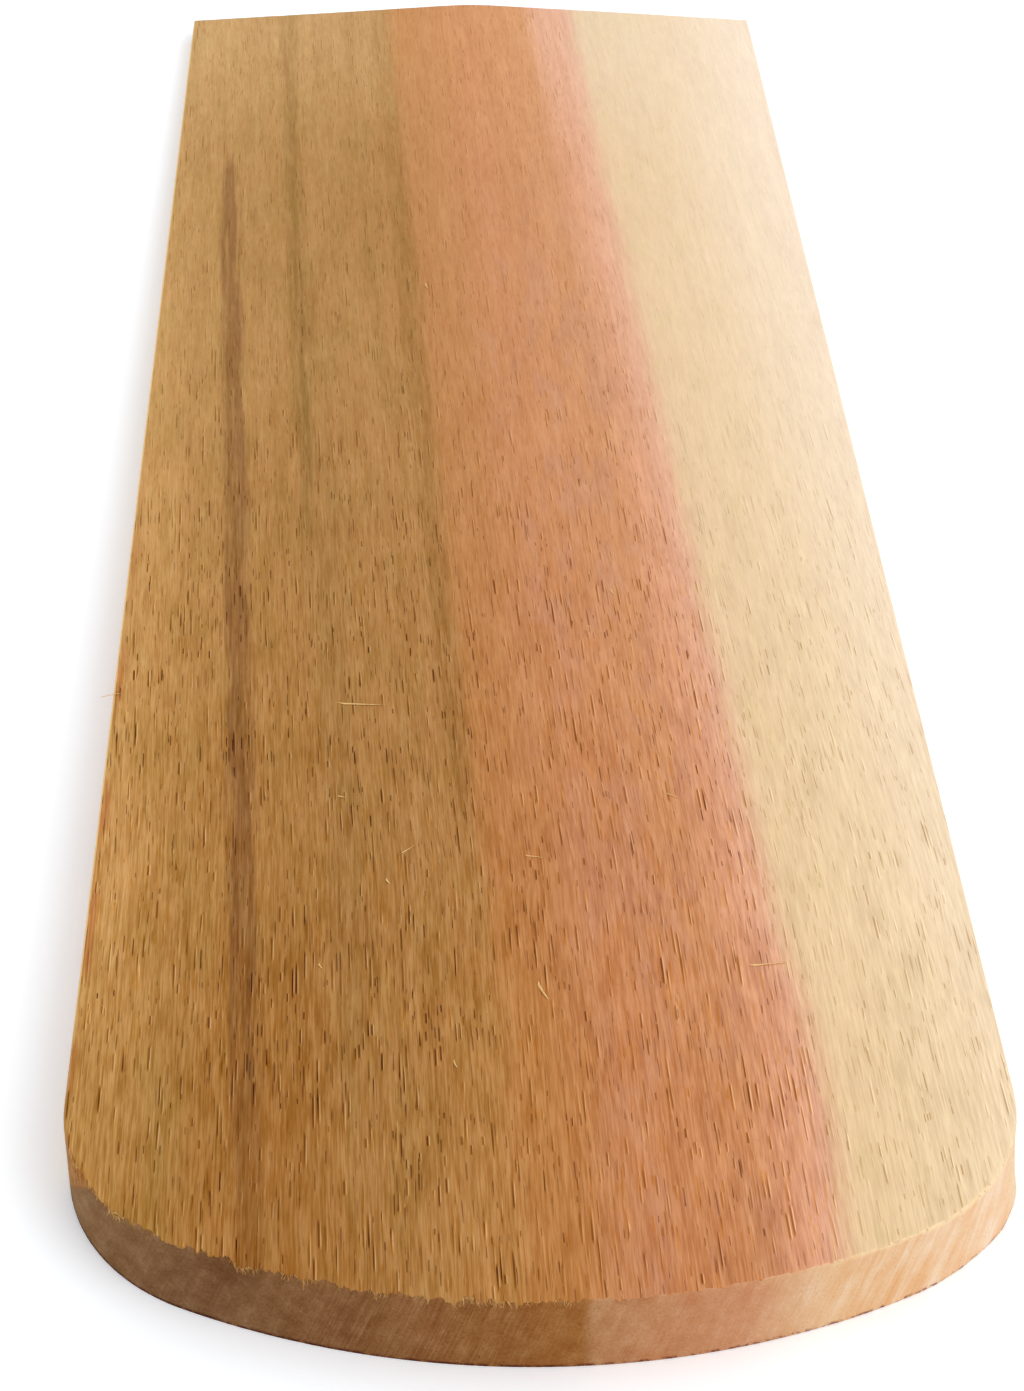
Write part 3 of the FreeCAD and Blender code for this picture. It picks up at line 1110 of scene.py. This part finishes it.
slivers = {
    # bits of loose fibre: place on the face, direction in degrees from the grain, length, thickness
    "bits": [
        (-21.2, -58.6, 83, 4.7, 0.24),
        (0.5, -111.6, 14, 2.4, 0.36),
        (24.6, -108.7, 93, 3.4, 0.24),
        (-16.2, -93.0, 10, 0.8, 0.26),
        (-23.7, -107.6, 12, 0.7, 0.24),
        (-9.1, -123.6, 5, 0.9, 0.24),
        (-21.8, -77.3, 60, 0.8, 0.22),
        (13.4, -34.0, 5, 1.0, 0.24),
        (-9.7, 50.6, 0, 1.2, 0.3),
        (-14.2, -88.0, 130, 1.9, 0.13),
        (0.2, -89.0, 75, 1.8, 0.14),
        (17.4, -77.6, 50, 1.4, 0.14),
        (-49.4, -56.0, -74, 2.2, 0.14),
    ],
    "curl": 0.9, "lift": 0.05,
}


def sliverTree():
    tree, given, out = newGrowth("looseSlivers", [])
    thick = attribute(tree, "thickness")
    long = attribute(tree, "long")
    turn = (0.0, 0.0, attribute(tree, "yaw"))
    shape = hair(tree, slivers["curl"], 1.0)
    finishTree(tree, given, out, given["Geometry"], True, shape, turn, joined(tree, thick, long, thick))
    return tree


def buildSlivers(material):
    spots, yaws, longs, thicks = [], [], [], []
    for x, y, yaw, long, thick in slivers["bits"]:
        spots.append((x * mm, y * mm, (upperFace(y) + upperRelief(x, y) + slivers["lift"]) * mm))
        yaws.append(math.radians(yaw))
        longs.append(long * mm)
        thicks.append(thick * mm)
    mesh = bpy.data.meshes.new("sliver_places")
    mesh.from_pydata(spots, [], [])
    for name, values in (("yaw", yaws), ("long", longs), ("thickness", thicks)):
        mesh.attributes.new(name, "FLOAT", "POINT").data.foreach_set("value", values)
    return grow("loose_slivers", mesh, sliverTree(), {"Material": material})


stage = {
    "floorColour": 0.8, "seenColour": 1.18, "coolness": 0.045,
    "floorDrop": 0.05, "floorReach": 4.0, "skyStrength": 0.87,
}


def seenRay(tree):
    # 1 for rays that show the background, 0 for those that light the object
    ray = addNode(tree, "ShaderNodeLightPath").outputs
    seen = sums(tree, "MAXIMUM", ray["Is Camera Ray"], ray["Is Glossy Ray"])
    return sums(tree, "MAXIMUM", seen, ray["Is Transmission Ray"])


def buildStage():
    size = stage["floorReach"]
    corners = [(-size, -size), (size, -size), (size, size), (-size, size)]
    mesh = bpy.data.meshes.new("floor")
    mesh.from_pydata([(x, y, -stage["floorDrop"] * mm) for x, y in corners], [], [(0, 1, 2, 3)])
    floor = addObject("floor", mesh)
    material = bpy.data.materials.new("paleFloor")
    material.use_nodes = True
    tree = material.node_tree
    tree.nodes.clear()
    level, white, cool = stage["floorColour"], stage["seenColour"], stage["coolness"]
    colour = mixed(tree, seenRay(tree), (level, level, level, 1), (white - cool, white, white + cool, 1))
    matt = addNode(tree, "ShaderNodeBsdfDiffuse", {"Color": colour}).outputs[0]
    addNode(tree, "ShaderNodeOutputMaterial", {"Surface": matt})
    mesh.materials.append(material)

    world = bpy.data.worlds.new("studio")
    world.use_nodes = True
    tree = world.node_tree
    tree.nodes.clear()
    strength = timesPlus(tree, seenRay(tree), 1 - stage["skyStrength"], stage["skyStrength"])
    sky = addNode(tree, "ShaderNodeBackground", {"Color": (1, 1, 1, 1), "Strength": strength})
    addNode(tree, "ShaderNodeOutputWorld", {"Surface": sky.outputs[0]})
    bpy.context.scene.world = world


# a broad soft light from the right
lamp = {"from": (0.62, -0.45, 0.64), "spread": 40, "strength": 0.77}


def buildLamp():
    light = bpy.data.lights.new("window", "SUN")
    light.angle = math.radians(lamp["spread"])
    light.energy = lamp["strength"]
    obj = addObject("window", light)
    obj.location = lamp["from"]
    obj.rotation_euler = (-Vector(lamp["from"])).to_track_quat("-Z", "Y").to_euler()


# camera place in millimetres and angles in degrees
view = {
    "place": (-14.86, -355.21, 232.59), "down": 37.034, "turn": -2.768, "tilt": 1.073,
    "lens": 77.64, "sensor": 36.0, "near": 0.01,
}


def buildCamera():
    camera = bpy.data.cameras.new("camera")
    camera.lens = view["lens"]
    camera.sensor_width = view["sensor"]
    camera.clip_start = view["near"]
    obj = addObject("camera", camera)
    turn = Matrix.Rotation(math.radians(view["turn"]), 4, "Z")
    down = Matrix.Rotation(math.radians(90 - view["down"]), 4, "X")
    tilt = Matrix.Rotation(math.radians(view["tilt"]), 4, "Z")
    obj.matrix_world = Matrix.Translation([c * mm for c in view["place"]]) @ turn @ down @ tilt
    bpy.context.scene.camera = obj


groups = {"grain": grainGroup(), "fibre": fibreGroup(), "vessel": vesselGroup(), "vein": veinGroup()}
groups["tone"] = toneGroup(groups["vein"])
groups["face"] = faceGroup(groups)
print("node groups:", ", ".join(groups))
body = buildShingle()
body.data.materials.append(faceWood(groups))
body.data.materials.append(endWood(groups))
tornWood = fibreWood(groups, "tornFibreWood", fibreLook["torn"])
paleWood = fibreWood(groups, "paleFibreWood", fibreLook["pale"])
pieces = [body, buildFringe(tornWood), buildFuzz(tornWood), buildSlivers(paleWood)]
for piece in pieces:
    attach(piece, "root")
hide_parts("shingle")

buildStage()
buildLamp()
buildCamera()
bpy.context.scene.view_settings.view_transform = "Standard"

print("scene ready")
